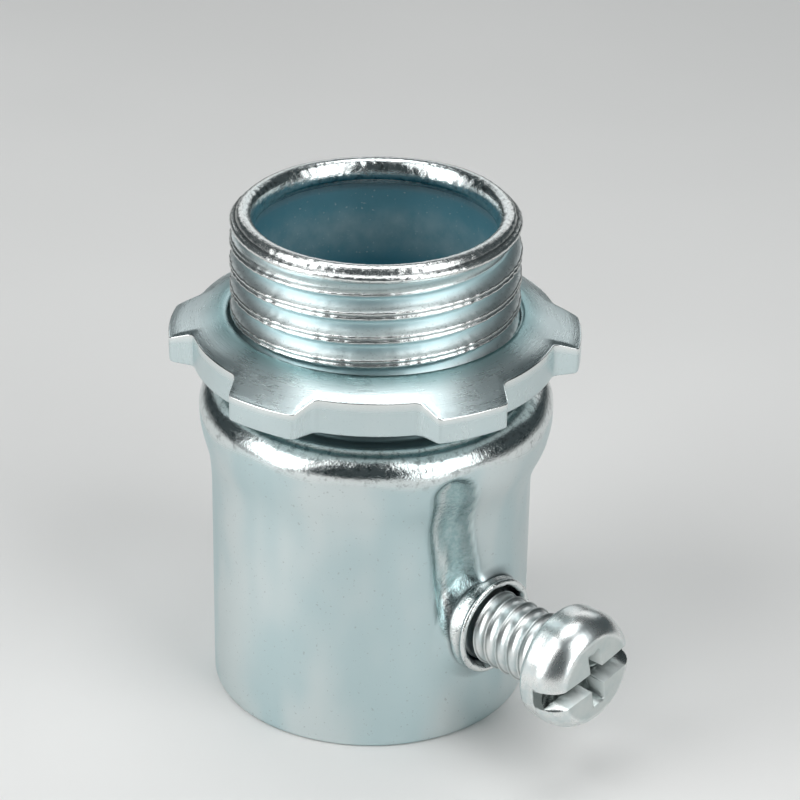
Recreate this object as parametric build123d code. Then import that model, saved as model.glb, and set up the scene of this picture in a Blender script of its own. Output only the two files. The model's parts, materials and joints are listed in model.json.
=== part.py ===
from build123d import *
import math
import os

# Set-screw conduit connector, half-inch trade size, in millimetres.
# Origin: centre of the conduit socket's open rim. +Z runs up the socket's axis
# towards the threaded nipple, and the set screw lies along +X.

# --- body: barrel, shoulder and nipple, one formed steel shell ---------------
BARREL_R = 11.8            # outside of the smooth barrel
WALL = 1.0                 # sheet thickness
SOCKET_R = BARREL_R - WALL     # 21.6 mm bore for 21.34 mm rigid conduit
RIM_ROUND = 0.3            # rounding of the open rim's outer edge
FLARE_START_Z = 16.4       # the barrel starts to swell here
SHOULDER_Z = 22.6          # height of the shoulder's widest circle
SHOULDER_R = 12.95
SHOULDER_ROUND = 1.9       # outer radius of the roll over the shoulder
SEAT_INNER_R = 10.55       # the flat ring starts here, just outside the thread's crests
SEAT_RELIEF = 0.12         # the corner inside the flat ring is this much lower
NECK_R = 9.95              # plain neck between the shoulder and the thread
NECK_TOP_Z = 26.0
RUN_OUT = 0.4              # height of the slope from the thread's root to the neck and to the lip
THROAT_R = 8.9             # bore of the nipple
LIP_BORE_R = 8.6           # the nipple's end is curled in to this radius
LIP_DEPTH = 1.5            # height of the curled lip
LIP_R = 9.9                # outside of the lip's rounded top
LIP_ROUND = 0.6
LIP_BORE_H = 0.3           # height of the straight part of the lip's bore
LIP_CROWN_R = 0.72         # radius of the lip's outer rounding
TOP_Z = 37.87

# --- nipple thread: 1/2-14 straight pipe thread -------------------------------
PITCH = 25.4 / 14
CREST_R = 10.45
ROOT_R = 9.55
CREST_W = 0.5              # flat on the crest
ROOT_W = 1.45              # width of the ridge where it meets the root
THREAD_START_Z = 26.2
THREAD_END_Z = 36.8
THREAD_TURN = 95.0         # degrees about +Z that set where the thread starts
THREAD_SINK = 0.15         # how far a ridge is sunk below its root before it is joined

# --- set-screw collar and the pressed channel above it ------------------------
SCREW_Z = 8.85             # height of the screw's axis
COLLAR_R = 3.65
COLLAR_END_X = 13.0
COLLAR_FILLET = 0.6
COLLAR_EDGE = 0.25
COLLAR_SINK = 0.2          # how far the collar's root stays outside the socket's bore
SCREW_HOLE_R = 2.80        # runs 0.055 mm clear of the screw's crests
SCREW_HOLE_FROM_X = 8.0    # the hole is cut outwards from here, inside the socket
CHANNEL_R = 3.6            # radius of the round tool that presses the channel
CHANNEL_DEPTH = 0.5
CHANNEL_STATIONS = 4
CHANNEL_TOP_Z = 19.6
CHANNEL_TOP_TURN = -17.7   # degrees about +Z from the screw
CHANNEL_FOOT_Z = 10.8
CHANNEL_FOOT_TURN = -13.0
CUT_LENGTH = 8.0           # length of the cutters along the screw's axis

# --- set screw: #12-24 machine screw, 5/16 in under the head -------------------
SCREW_CREST_R = 2.745
SCREW_ROOT_R = 2.25
SCREW_PITCH = 25.4 / 24
SCREW_CREST_W = 0.16
SCREW_ROOT_W = 0.75
SCREW_LENGTH = 7.94
SCREW_POINT = 0.35         # unthreaded length at the tip
SCREW_JOIN = 0.5           # how far the shank's core is sunk into the head
SCREW_RIDGE_JOIN = 0.2     # how far the thread is sunk into the head
HEAD_UNDER_X = 18.95        # underside of the head, from the barrel's axis
HEAD_HEIGHT = 3.75
HEAD_R = 4.4
HEAD_FACE_R = 3.2
HEAD_CROWN = 0.2           # rise of the face's shallow cone
HEAD_SIDE_LOSS = 0.2       # how far the straight side ends below half the head's height
HEAD_UNDER_ROUND = 0.45
SLOT_W = 1.4
SLOT_DEPTH = 1.5
SLOT_TURN = 10.0           # degrees, the slot's rise against the horizontal
CROSS_W = 1.15
CROSS_REACH = 2.2          # half length of the cross recess
CROSS_DEPTH = 2.1
RECESS_CUT_H = 4.0         # height of the cutters for the slot and the cross

# --- locknut: stamped, dished ring with six lugs -------------------------------
NUT_UNDER_Z = 26.6
NUT_BORE_R = 10.50         # runs 0.05 mm clear of the nipple's crests
NUT_LUG_R = 14.9
NUT_NOTCH_R = 13.3
NUT_LUGS = 6
NUT_TURN = -17.6           # degrees, first lug's centre from +X
LUG_HALF_TIP = 10.4        # degrees, half a lug at its tip
LUG_HALF_FOOT = 15.4       # degrees, half a lug at its foot
LUG_FOOT_FILLET = 0.8
LUG_TIP_FILLET = 0.35
NUT_HOLE_TOP = 3.55        # heights of the top above the underside
NUT_FOOT_TOP = 2.6
NUT_TIP_TOP = 2.0
NUT_DISH = 0.8             # depth of the hollow underside at the bore
NUT_DISH_R = 12.2
NUT_LEAD_IN = 0.35         # chamfer of the bore's top edge
NUT_TIP_CHAMFER = 0.2      # drop of the top just outside the lugs' tips
NUT_OVERRUN = 0.5          # how far the section runs on past the lugs' tips
NUT_BLANK_EXTRA = 1.0      # height of the cutting outline above the nut's top
LUG_SINK = 0.4             # how far a lug's foot is sunk into the disc


def ring_of(points):
    """A solid of revolution about Z from a closed polygon of (radius, height) points."""
    return revolve(Plane.XZ * make_face(Polyline(*points, close=True)), Axis.Z)


def polar(radius, turn, height):
    """A point given by its radius, its angle in degrees about +Z and its height."""
    a = math.radians(turn)
    return Vector(radius * math.cos(a), radius * math.sin(a), height)


def thread_ridge(root_r, crest_r, pitch, root_w, crest_w, low, high):
    """A right-hand ridge whose straight flanks run on below the root, trimmed flat at low and high."""
    depth = crest_r - root_r
    foot_w = root_w + (root_w - crest_w) / depth * THREAD_SINK
    section = Polyline((-THREAD_SINK, -foot_w / 2), (depth, -crest_w / 2),
                       (depth, crest_w / 2), (-THREAD_SINK, foot_w / 2), close=True)
    path = Helix(pitch, high - low + 2 * pitch, root_r, center=(0, 0, low - pitch))
    start = Plane(path @ 0, x_dir=(1, 0, 0), z_dir=(0, -1, 0))
    coil = sweep(start * make_face(section), path=path, is_frenet=True)
    keep = Pos(0, 0, low) * Cylinder(crest_r + 1, high - low, align=(Align.CENTER, Align.CENTER, Align.MIN))
    return coil & keep


def make_shell():
    """The barrel, its S-shaped flare, the rolled shoulder, the neck and the nipple."""
    swell = (SHOULDER_R - BARREL_R) / 2
    mid_z = (FLARE_START_Z + SHOULDER_Z) / 2
    roll_r = SHOULDER_R - SHOULDER_ROUND
    inner_roll = SHOULDER_ROUND - WALL
    seat_z = SHOULDER_Z + SHOULDER_ROUND
    lip_low_z = TOP_Z - LIP_ROUND - LIP_BORE_H
    with BuildPart() as shell:
        with BuildSketch(Plane.XZ):
            with BuildLine():
                out = Line((BARREL_R - RIM_ROUND, 0), (SOCKET_R, 0))
                Line(out @ 1, (SOCKET_R, FLARE_START_Z))
                low = TangentArc((SOCKET_R, FLARE_START_Z), (SOCKET_R + swell, mid_z), tangent=(0, 1))
                TangentArc(low @ 1, (SHOULDER_R - WALL, SHOULDER_Z), tangent=low % 1)
                RadiusArc((SHOULDER_R - WALL, SHOULDER_Z), (roll_r, SHOULDER_Z + inner_roll), -inner_roll)
                Line((roll_r, SHOULDER_Z + inner_roll), (THROAT_R, seat_z - WALL))
                Line((THROAT_R, seat_z - WALL), (THROAT_R, TOP_Z - LIP_DEPTH))
                Line((THROAT_R, TOP_Z - LIP_DEPTH), (LIP_BORE_R, lip_low_z))
                Line((LIP_BORE_R, lip_low_z), (LIP_BORE_R, TOP_Z - LIP_ROUND))
                RadiusArc((LIP_BORE_R, TOP_Z - LIP_ROUND), (LIP_BORE_R + LIP_ROUND, TOP_Z), LIP_ROUND)
                RadiusArc((LIP_BORE_R + LIP_ROUND, TOP_Z), (LIP_R, TOP_Z - LIP_ROUND), LIP_CROWN_R)
                Line((LIP_R, TOP_Z - LIP_ROUND), (ROOT_R, THREAD_END_Z - RUN_OUT))
                Line((ROOT_R, THREAD_END_Z - RUN_OUT), (ROOT_R, NECK_TOP_Z))
                Line((ROOT_R, NECK_TOP_Z), (NECK_R, NECK_TOP_Z - RUN_OUT))
                Line((NECK_R, NECK_TOP_Z - RUN_OUT), (NECK_R, seat_z - SEAT_RELIEF))
                Line((NECK_R, seat_z - SEAT_RELIEF), (SEAT_INNER_R, seat_z))
                Line((SEAT_INNER_R, seat_z), (roll_r, seat_z))
                RadiusArc((roll_r, seat_z), (SHOULDER_R, SHOULDER_Z), SHOULDER_ROUND)
                high = TangentArc((SHOULDER_R, SHOULDER_Z), (BARREL_R + swell, mid_z), tangent=(0, -1))
                TangentArc(high @ 1, (BARREL_R, FLARE_START_Z), tangent=high % 1)
                Line((BARREL_R, FLARE_START_Z), (BARREL_R, RIM_ROUND))
                RadiusArc((BARREL_R, RIM_ROUND), (BARREL_R - RIM_ROUND, 0), RIM_ROUND)
            make_face()
        revolve(axis=Axis.Z)
    return shell.part


def barrel_radius(height):
    """Outside radius of the barrel: straight, then two equal arcs that swell to the shoulder."""
    swell = (SHOULDER_R - BARREL_R) / 2
    rise = (SHOULDER_Z - FLARE_START_Z) / 2
    arc_r = (rise * rise + swell * swell) / (2 * swell)
    if height <= FLARE_START_Z:
        return BARREL_R
    if height <= FLARE_START_Z + rise:
        return BARREL_R + arc_r - math.sqrt(arc_r ** 2 - (height - FLARE_START_Z) ** 2)
    return SHOULDER_R - arc_r + math.sqrt(arc_r ** 2 - (SHOULDER_Z - height) ** 2)


def make_channel():
    """The round-ended tool that presses the slanted channel, bent to follow the flare."""
    stations = []
    for k in range(CHANNEL_STATIONS):
        t = k / (CHANNEL_STATIONS - 1)
        height = CHANNEL_FOOT_Z + t * (CHANNEL_TOP_Z - CHANNEL_FOOT_Z)
        turn = CHANNEL_FOOT_TURN + t * (CHANNEL_TOP_TURN - CHANNEL_FOOT_TURN)
        stations.append(polar(barrel_radius(height) - CHANNEL_DEPTH + CHANNEL_R, turn, height))
    tool = Pos(stations[0]) * Sphere(CHANNEL_R)
    for low, high in zip(stations, stations[1:]):
        run = high - low
        rod = Cylinder(CHANNEL_R, run.length, align=(Align.CENTER, Align.CENTER, Align.MIN))
        tool = tool + Plane(low, z_dir=run) * rod + Pos(high) * Sphere(CHANNEL_R)
    return tool


def along_x(shape, x):
    """Turn a shape made along +Z so that it runs along +X from x, on the screw's axis."""
    return Pos(x, 0, SCREW_Z) * Rot(0, 90, 0) * shape


def make_body():
    """The whole shell with its thread, channel, extruded collar and screw hole."""
    base = (Align.CENTER, Align.CENTER, Align.MIN)
    inner_x = SOCKET_R + COLLAR_SINK
    collar = along_x(Cylinder(COLLAR_R, COLLAR_END_X - inner_x, align=base), inner_x)
    blank = make_shell() + collar
    foot = [e for e in blank.edges() if collar_foot(e)]
    blank = fillet(foot, COLLAR_FILLET)
    rim = [e for e in blank.edges().filter_by(GeomType.CIRCLE) if abs(e.center().X - COLLAR_END_X) < 0.01]
    blank = fillet(rim, COLLAR_EDGE)
    guard = along_x(Cylinder(COLLAR_R + COLLAR_FILLET / 2, CUT_LENGTH, align=base), SCREW_HOLE_FROM_X)
    blank = blank - (make_channel() - guard)
    blank = blank - along_x(Cylinder(SCREW_HOLE_R, CUT_LENGTH, align=base), SCREW_HOLE_FROM_X)
    ridge = thread_ridge(ROOT_R, CREST_R, PITCH, ROOT_W, CREST_W, THREAD_START_Z, THREAD_END_Z)
    return blank + Rot(0, 0, THREAD_TURN) * ridge


def collar_foot(edge):
    """True for the edge where the collar's side meets the outside of the barrel."""
    middle = edge @ 0.5
    reach = math.hypot(middle.Y, middle.Z - SCREW_Z)
    return abs(reach - COLLAR_R) < 0.02 and 10.9 < middle.X < COLLAR_END_X - 0.2


def make_screw():
    """Fillister-type head with slot and cross recess on a short threaded shank."""
    half = HEAD_HEIGHT / 2
    with BuildPart() as head:
        with BuildSketch(Plane.XZ):
            with BuildLine():
                Line((0, 0), (HEAD_R - HEAD_UNDER_ROUND, 0))
                RadiusArc((HEAD_R - HEAD_UNDER_ROUND, 0), (HEAD_R, HEAD_UNDER_ROUND), -HEAD_UNDER_ROUND)
                side = Line((HEAD_R, HEAD_UNDER_ROUND), (HEAD_R, half - HEAD_SIDE_LOSS))
                crown = TangentArc(side @ 1, (HEAD_FACE_R, HEAD_HEIGHT - HEAD_CROWN), tangent=(0, 1))
                Line(crown @ 1, (0, HEAD_HEIGHT))
                Line((0, HEAD_HEIGHT), (0, 0))
            make_face()
        revolve(axis=Axis.Z)
    base = (Align.CENTER, Align.CENTER, Align.MIN)
    core = Pos(0, 0, -SCREW_LENGTH) * Cylinder(SCREW_ROOT_R, SCREW_LENGTH + SCREW_JOIN, align=base)
    ridge = thread_ridge(SCREW_ROOT_R, SCREW_CREST_R, SCREW_PITCH, SCREW_ROOT_W, SCREW_CREST_W,
                         -SCREW_LENGTH + SCREW_POINT, SCREW_RIDGE_JOIN)
    slot = Pos(0, 0, HEAD_HEIGHT - SLOT_DEPTH) * Box(3 * HEAD_R, SLOT_W, RECESS_CUT_H, align=base)
    recess = Pos(0, 0, HEAD_HEIGHT - CROSS_DEPTH) * (
        Box(2 * CROSS_REACH, CROSS_W, RECESS_CUT_H, align=base)
        + Box(CROSS_W, 2 * CROSS_REACH, RECESS_CUT_H, align=base))
    solid = head.part + core + ridge - Rot(0, 0, 90 + SLOT_TURN) * (slot + recess)
    return along_x(solid, HEAD_UNDER_X)


def nut_outline():
    """The six-lugged outline as one face: a disc with six tapered lugs added to it."""
    disc = Circle(NUT_NOTCH_R)
    tip = polar(NUT_LUG_R, LUG_HALF_TIP, 0)
    foot = polar(NUT_NOTCH_R - LUG_SINK, LUG_HALF_FOOT, 0)
    arc = ThreePointArc((tip.X, -tip.Y), (NUT_LUG_R, 0), (tip.X, tip.Y))
    sides = Polyline((tip.X, tip.Y), (foot.X, foot.Y), (foot.X, -foot.Y), (tip.X, -tip.Y))
    lug = make_face(arc.edges() + sides.edges())
    face = disc
    for k in range(NUT_LUGS):
        face = face + Rot(0, 0, NUT_TURN + 360 / NUT_LUGS * k) * lug
    tips = [v for v in face.vertices() if math.hypot(v.X, v.Y) > NUT_LUG_R - 0.05]
    face = fillet(tips, LUG_TIP_FILLET)
    feet = [v for v in face.vertices() if abs(math.hypot(v.X, v.Y) - NUT_NOTCH_R) < 0.05]
    return fillet(feet, LUG_FOOT_FILLET)


def make_locknut():
    """The dished ring: the lugged outline cut from a ring of the nut's own section."""
    section = ring_of([
        (NUT_BORE_R, NUT_DISH), (NUT_DISH_R, 0), (NUT_LUG_R + NUT_OVERRUN, 0),
        (NUT_LUG_R + NUT_OVERRUN, NUT_TIP_TOP - NUT_TIP_CHAMFER), (NUT_LUG_R, NUT_TIP_TOP),
        (NUT_NOTCH_R, NUT_FOOT_TOP), (NUT_BORE_R + NUT_LEAD_IN, NUT_HOLE_TOP),
        (NUT_BORE_R, NUT_HOLE_TOP - NUT_LEAD_IN)])
    blank = extrude(nut_outline(), NUT_HOLE_TOP + NUT_BLANK_EXTRA)
    return Pos(0, 0, NUT_UNDER_Z) * (section & blank)


os.makedirs("parts", exist_ok=True)
export_step(make_body(), "parts/body.step")
export_step(make_locknut(), "parts/locknut.step")
export_step(make_screw(), "parts/set_screw.step")
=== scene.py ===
import json
import math
from types import SimpleNamespace

import bpy
import numpy as np
from bpy.props import FloatProperty, FloatVectorProperty, IntProperty, PointerProperty
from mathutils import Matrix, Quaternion, Vector


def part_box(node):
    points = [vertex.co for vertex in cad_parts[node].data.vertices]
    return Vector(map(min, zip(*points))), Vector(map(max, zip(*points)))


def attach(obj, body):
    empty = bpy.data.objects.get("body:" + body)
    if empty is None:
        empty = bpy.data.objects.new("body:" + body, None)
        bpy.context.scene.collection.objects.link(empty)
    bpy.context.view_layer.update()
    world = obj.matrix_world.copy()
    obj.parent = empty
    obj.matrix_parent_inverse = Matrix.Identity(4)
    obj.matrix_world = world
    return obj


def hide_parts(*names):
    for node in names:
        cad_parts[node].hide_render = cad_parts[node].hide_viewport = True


bl_info = {
    "name": "Set-screw conduit connector",
    "version": (1, 0, 0),
    "blender": (4, 5, 0),
    "location": "3D View > Sidebar > Connector",
    "description": "Builds a zinc-plated conduit connector round its packed frame",
    "category": "Add Mesh",
}

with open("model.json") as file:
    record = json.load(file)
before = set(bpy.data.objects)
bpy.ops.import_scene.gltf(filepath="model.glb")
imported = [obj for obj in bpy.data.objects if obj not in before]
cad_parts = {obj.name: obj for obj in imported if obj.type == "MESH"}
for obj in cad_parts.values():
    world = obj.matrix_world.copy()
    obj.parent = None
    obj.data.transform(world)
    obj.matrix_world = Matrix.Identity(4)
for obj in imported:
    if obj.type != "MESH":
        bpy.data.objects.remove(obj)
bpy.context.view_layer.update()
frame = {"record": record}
MM = 0.001


def node_box(node):
    """Lowest and highest corners of a CAD node, in millimetres."""
    return [[c / MM for c in corner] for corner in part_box(node)]


BODY_LOW, BODY_HIGH = node_box("body")
NUT_LOW, NUT_HIGH = node_box("locknut")
SCREW_LOW, SCREW_HIGH = node_box("set_screw")
MOUNTS = {m["name"]: m for m in frame["record"]["mounts"]}
SOCKET = MOUNTS["conduit_socket"]["dims"]
SEAT_Z = MOUNTS["shoulder_seat"]["pos_m"][2] / MM

# the screw's head
HEAD_H = 3.75
FACE_DROP = 0.16  # from the head's height down to the start of its domed face
FACE_DOME = 0.10  # rise of the dome over that start
SIDE_SHARE = 0.42  # height of the head's straight side over the head's height

# the camera: its bearing and roll in degrees, its distance and the point it aims at in millimetres
CAMERA_AZIMUTH = 44.6
CAMERA_ELEVATION = 28.5
CAMERA_ROLL = 0.63
CAMERA_DISTANCE = 217.7
AIM_HEIGHT = 18.88


# --- sizes and colours ---------------------------------------------------------
def length(name, text, millimetres):
    """A size that is stated in millimetres and kept in metres."""
    return FloatProperty(name=name, description=text, default=millimetres * MM, unit="LENGTH", precision=6)


def angle(name, text, degrees):
    """An angle that is stated in degrees and kept in radians."""
    return FloatProperty(name=name, description=text, default=math.radians(degrees), unit="ROTATION")


def colour(name, text, value):
    """A colour that a user can change."""
    return FloatVectorProperty(name=name, description=text, default=value, subtype="COLOR", size=3,
                               min=0, max=1)


def sizes(group):
    """A property group's lengths in millimetres, and its other values as they are."""
    values = {}
    for key in group.__annotations__:
        unit = group.bl_rna.properties[key].unit
        values[key] = getattr(group, key) / MM if unit == "LENGTH" else getattr(group, key)
    return SimpleNamespace(**values)


class BodySizes(bpy.types.PropertyGroup):
    columns: IntProperty(name="Columns", description="Points round the body", default=320, min=64)
    socket_r: length("Socket radius", "Bore that takes the conduit", SOCKET["r_mm"])
    wall: length("Wall", "Thickness of the steel", 1.0)
    rim_round: length("Rim rounding", "Rounding of the open rim's outer edge", 0.3)
    flare_z: length("Flare start", "Height where the barrel starts to swell", SOCKET["length_mm"])
    shoulder_r: length("Shoulder radius", "Widest radius of the shoulder", -BODY_LOW[0])
    roll_r: length("Shoulder roll", "Radius of the roll over the shoulder", 1.9)
    seat_z: length("Seat height", "Height of the flat ring inside the roll", SEAT_Z)
    neck_r: length("Neck radius", "Plain neck under the thread", 9.95)
    throat_r: length("Throat radius", "Bore of the nipple", 8.9)
    lip_bore_r: length("Lip bore", "Radius of the hole in the curled lip", 8.6)
    lip_r: length("Lip radius", "Outside radius of the curled lip", 9.95)
    lip_depth: length("Lip depth", "Height of the curled lip", 1.5)
    top_z: length("Top", "Height of the whole body", BODY_HIGH[2])
    pitch: length("Thread pitch", "Height of one turn of the nipple's thread", 25.4 / 14)
    crest_r: length("Crest radius", "Radius over the thread's crests", 10.45)
    root_r: length("Root radius", "Radius of the thread's root", 9.55)
    crest_z: length("Crest height", "Height of one crest, level with the screw", 30.974)
    thread_low: length("Thread start", "Height where the thread begins", 26.1)
    thread_high: length("Thread end", "Height where the thread runs out", 36.75)


class CollarSizes(bpy.types.PropertyGroup):
    axis_z: length("Screw height", "Height of the screw's axis", (SCREW_LOW[2] + SCREW_HIGH[2]) / 2)
    radius: length("Collar radius", "Outside radius of the collar", 3.66)
    end_x: length("Collar end", "Distance of the collar's face from the barrel's axis", BODY_HIGH[0])
    hole_r: length("Hole radius", "Radius of the screw hole", 2.8)
    skirt: length("Skirt", "Width of the sloping skirt at the collar's foot", 0.95)
    channel_top_z: length("Channel top", "Height of the channel's upper round end", 20.85)
    channel_top_arc: length("Channel top offset", "Distance round the barrel from the screw", -4.0)
    channel_foot_z: length("Channel foot", "Height of the channel's lower end", 10.0)
    channel_foot_arc: length("Channel foot offset", "Distance round the barrel from the screw", -2.2)
    channel_top_half: length("Channel half width, top", "Half the channel's width at its top", 1.80)
    channel_foot_half: length("Channel half width, foot", "Half the channel's width at its foot", 2.35)
    channel_depth: length("Channel depth", "Depth of the pressed channel", 0.80)


class NutSizes(bpy.types.PropertyGroup):
    lugs: IntProperty(name="Lugs", description="Number of lugs", default=6, min=3)
    under_z: length("Underside", "Height of the underside", NUT_LOW[2])
    top_z: length("Top", "Height of the top at the hole", NUT_HIGH[2])
    bore_r: length("Bore", "Radius over the nut's own crests", 10.5)
    lug_r: length("Lug radius", "Radius over the lugs", 14.9)
    notch_r: length("Notch radius", "Radius of the rim between the lugs", 13.3)
    foot_top: length("Top at the notch", "Height of the top above the underside at the notch", 2.6)
    tip_top: length("Top at the tip", "Height of the top above the underside at a lug's tip", 2.0)
    dish: length("Dish", "Hollow of the underside at the bore", 0.8)
    dish_r: length("Dish radius", "Radius of the hollow underside", 12.2)
    lead_in: length("Lead-in", "Chamfer of the bore's top edge", 0.35)
    turn: angle("Turn", "Angle of the first lug from the screw", -17.6)
    half_tip: angle("Half tip", "Half a lug at its tip", 10.4)
    half_foot: angle("Half foot", "Half a lug at the notch", 14.4)


class ScrewSizes(bpy.types.PropertyGroup):
    head_r: length("Head radius", "Widest radius of the head", (SCREW_HIGH[1] - SCREW_LOW[1]) / 2)
    head_h: length("Head height", "Height of the head", HEAD_H)
    under_x: length("Head underside", "Distance of the head's underside from the barrel's axis",
                    SCREW_HIGH[0] - HEAD_H + FACE_DROP - FACE_DOME)
    tip_x: length("Tip", "Distance of the screw's tip from the barrel's axis", SCREW_LOW[0])
    face_r: length("Face radius", "Radius where the face rounds over", 3.2)
    crest_r: length("Crest radius", "Radius over the screw's crests", 2.745)
    root_r: length("Root radius", "Radius of the screw's root", 2.46)
    pitch: length("Screw pitch", "Height of one turn of the screw's thread", 25.4 / 24)
    slot_w: length("Slot width", "Width of the slot", 1.55)
    slot_depth: length("Slot depth", "Depth of the slot", 1.5)
    cross_w: length("Cross width", "Width of the cross recess", 1.15)
    cross_reach: length("Cross reach", "Half length of the cross recess", 2.2)
    cross_depth: length("Cross depth", "Depth of the cross recess", 2.1)
    slot_turn: angle("Slot turn", "Rise of the slot against the horizontal", 10)


class FinishColours(bpy.types.PropertyGroup):
    plate: colour("Plating", "Clear zinc plating on the outside", (0.70, 0.77, 0.775))
    # painted shade: the channel's darker teal stands in for the light its walls bounce at each other
    pressed: colour("Pressed channel", "Darker plating in the pressed channel", (0.36, 0.50, 0.51))
    # painted reflection: the deeper teal round the nut's hole stands in for the nipple reflected in the top
    shade: colour("Nut by the hole", "Deeper teal of the nut's plating round its hole", (0.24, 0.42, 0.44))
    # painted shade: dark for the gap under the locknut, the channel's wall, the collar's foot, the lip's
    # crease and the screw hole, and painted dark reflections on the roll; also darker seams and torn edges
    shade_and_dirt: colour("Crevices", "Dirt and shade in seams and torn edges", (0.03, 0.05, 0.055))
    plate_cool: colour("Plating, cool", "Bluer patches of the plating", (0.56, 0.69, 0.71))
    # painted teal of light bounced between facing surfaces: between the thread's crests, in the gap under the
    # locknut, in the nut's bore and inside the nipple
    bounce_teal: colour("Thread flanks", "Plating between the crests of the thread", (0.56, 0.74, 0.77))
    # painted shade: the dark teal inside the shell stands in for its shade and bounced light
    inside: colour("Inside", "Plating inside the shell", (0.10, 0.37, 0.47))
    # painted shade in the screw's slot and cross recess
    slot: colour("Slot", "Duller plating in the screw's slot", (0.10, 0.125, 0.12))
    # also used for the painted highlight streak along the channel
    bright: colour("Bright zinc", "Rubbed crests, edges and the screw", (0.86, 0.88, 0.87))
    speck: colour("Specks", "Small dull specks on the body's plating", (0.30, 0.34, 0.34))
    pit: colour("Pits", "Pits on the body's rubbed crests", (0.12, 0.16, 0.17))
    nut_speck: colour("Nut specks", "Small dull specks on the locknut", (0.34, 0.42, 0.43))
    screw_pit: colour("Screw pits", "Pits in the screw's plating", (0.28, 0.32, 0.33))
    screw_face: colour("Screw face", "Duller plating on the flat of the screw's head", (0.44, 0.50, 0.49))
    floor: colour("Floor", "Pale floor", (0.80, 0.80, 0.79))
    room: colour("Room", "Tint of the faint light from all round", (0.42, 0.52, 0.55))


# --- surfaces ------------------------------------------------------------------
def bearing(azimuth, elevation):
    """Unit vector from the object towards a place given by its bearing, in degrees."""
    turn, rise = math.radians(azimuth), math.radians(elevation)
    return Vector((math.sin(turn) * math.cos(rise), -math.cos(turn) * math.cos(rise), math.sin(rise)))


class Skin:
    """Points and quads of one closed piece, collected grid by grid and merged at the end.

    Every point also carries marks from 0 to 1 that its finish reads: rubbed (worn bright, and a painted
    highlight streak along the channel), deep (between crests or down in a recess, painted with the teal of
    bounced light, and with painted shade in the screw's slot), polished (the roll and the lip), pressed (the
    channel, painted a darker teal for its shade, the locknut's top and the flat of the screw's head), dark
    (painted shade under the locknut, on the channel's wall, at the collar's foot, in the lip's crease and
    down the screw hole, and darker seams and torn edges) and hidden (inside the shell, painted a dark teal
    for its shade).
    """

    MARKS = ("rubbed", "deep", "polished", "pressed", "dark", "hidden")

    def __init__(self):
        self.points = []
        self.marks = []
        self.quads = []
        self.count = 0

    def add(self, grid, **marks):
        """Keeps a grid of points and its marks, and returns the grid of their numbers."""
        flat = np.asarray(grid, float).reshape(-1, 3)
        numbers = np.arange(self.count, self.count + len(flat)).reshape(grid.shape[:-1])
        values = [np.broadcast_to(marks.get(name, 0.0), numbers.shape).ravel() for name in self.MARKS]
        self.points.append(flat)
        self.marks.append(np.stack(values, axis=1))
        self.count += len(flat)
        return numbers

    def cover(self, numbers, wrap=True, keep=None):
        """Lays quads between neighbouring rows of numbers. keep is a mask of the cells that stay."""
        across = np.roll(numbers, -1, axis=1) if wrap else numbers[:, 1:]
        here = numbers if wrap else numbers[:, :-1]
        cells = np.stack([here[:-1], across[:-1], across[1:], here[1:]], axis=-1)
        self.quads.append(cells[keep] if keep is not None else cells.reshape(-1, 4))

    def piece(self, name, body, node, slot):
        """Merges equal points, drops cells with no area and makes the object."""
        points = np.concatenate(self.points)
        points = off_centre(points) if node != "set_screw" else points
        quads = np.concatenate(self.quads)
        _, first, merged = np.unique(np.round(points, 5), axis=0, return_index=True, return_inverse=True)
        quads = merged.reshape(-1)[quads]
        points = points[first]
        same = quads == np.roll(quads, -1, axis=1)
        crossed = (quads[:, 0] == quads[:, 2]) | (quads[:, 1] == quads[:, 3])
        whole = quads[(same.sum(1) == 0) & ~crossed]
        bent = (same.sum(1) == 1) & ~crossed
        corners = quads[bent][~same[bent]].reshape(-1, 3)
        mesh = bpy.data.meshes.new(name)
        mesh.from_pydata((points * MM).tolist(), [], whole.tolist() + corners.tolist())
        for mark, values in zip(self.MARKS, np.concatenate(self.marks)[first].T):
            mesh.attributes.new(mark, "FLOAT", "POINT").data.foreach_set("value", values)
        mesh.validate()
        mesh.shade_smooth()
        thing = bpy.data.objects.new(name, mesh)
        bpy.context.scene.collection.objects.link(thing)
        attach(thing, body)
        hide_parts(node)
        return thing


def smooth(low, high, value):
    """0 up to low, 1 from high on, and 3t^2 - 2t^3 between them."""
    t = np.clip((value - low) / (high - low), 0, 1)
    return t * t * (3 - 2 * t)


def waves(seed, turns, rises, theta, height, count=14):
    """Sum of sine waves with whole numbers of turns round the axis, scaled to about -1 to 1."""
    random = np.random.default_rng(seed)
    total = np.zeros(np.broadcast(theta, height).shape)
    for _ in range(count):
        around = random.integers(turns[0], turns[1] + 1)
        rise = random.uniform(*rises) * random.choice((-1, 1))
        total += np.sin(around * theta + rise * height + random.uniform(0, 2 * math.pi))
    return total / math.sqrt(count)


def turned(radius, theta, height):
    """Points from radius, angle about +Z and height."""
    radius, theta, height = np.broadcast_arrays(radius, theta, height)
    return np.stack([radius * np.cos(theta), radius * np.sin(theta), height], axis=-1)


def arc(centre_r, centre_z, radius, start, end, count):
    """Profile points (radius, height) on a circle from one angle to another, in degrees."""
    a = np.radians(np.linspace(start, end, count))
    return np.stack([centre_r + radius * np.cos(a), centre_z + radius * np.sin(a)], axis=1)


def run(start, end, count):
    """Profile points (radius, height) on a straight line, its end left out."""
    t = np.linspace(0, 1, count, endpoint=False)[:, None]
    return np.array(start) + t * (np.array(end) - np.array(start))


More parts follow.
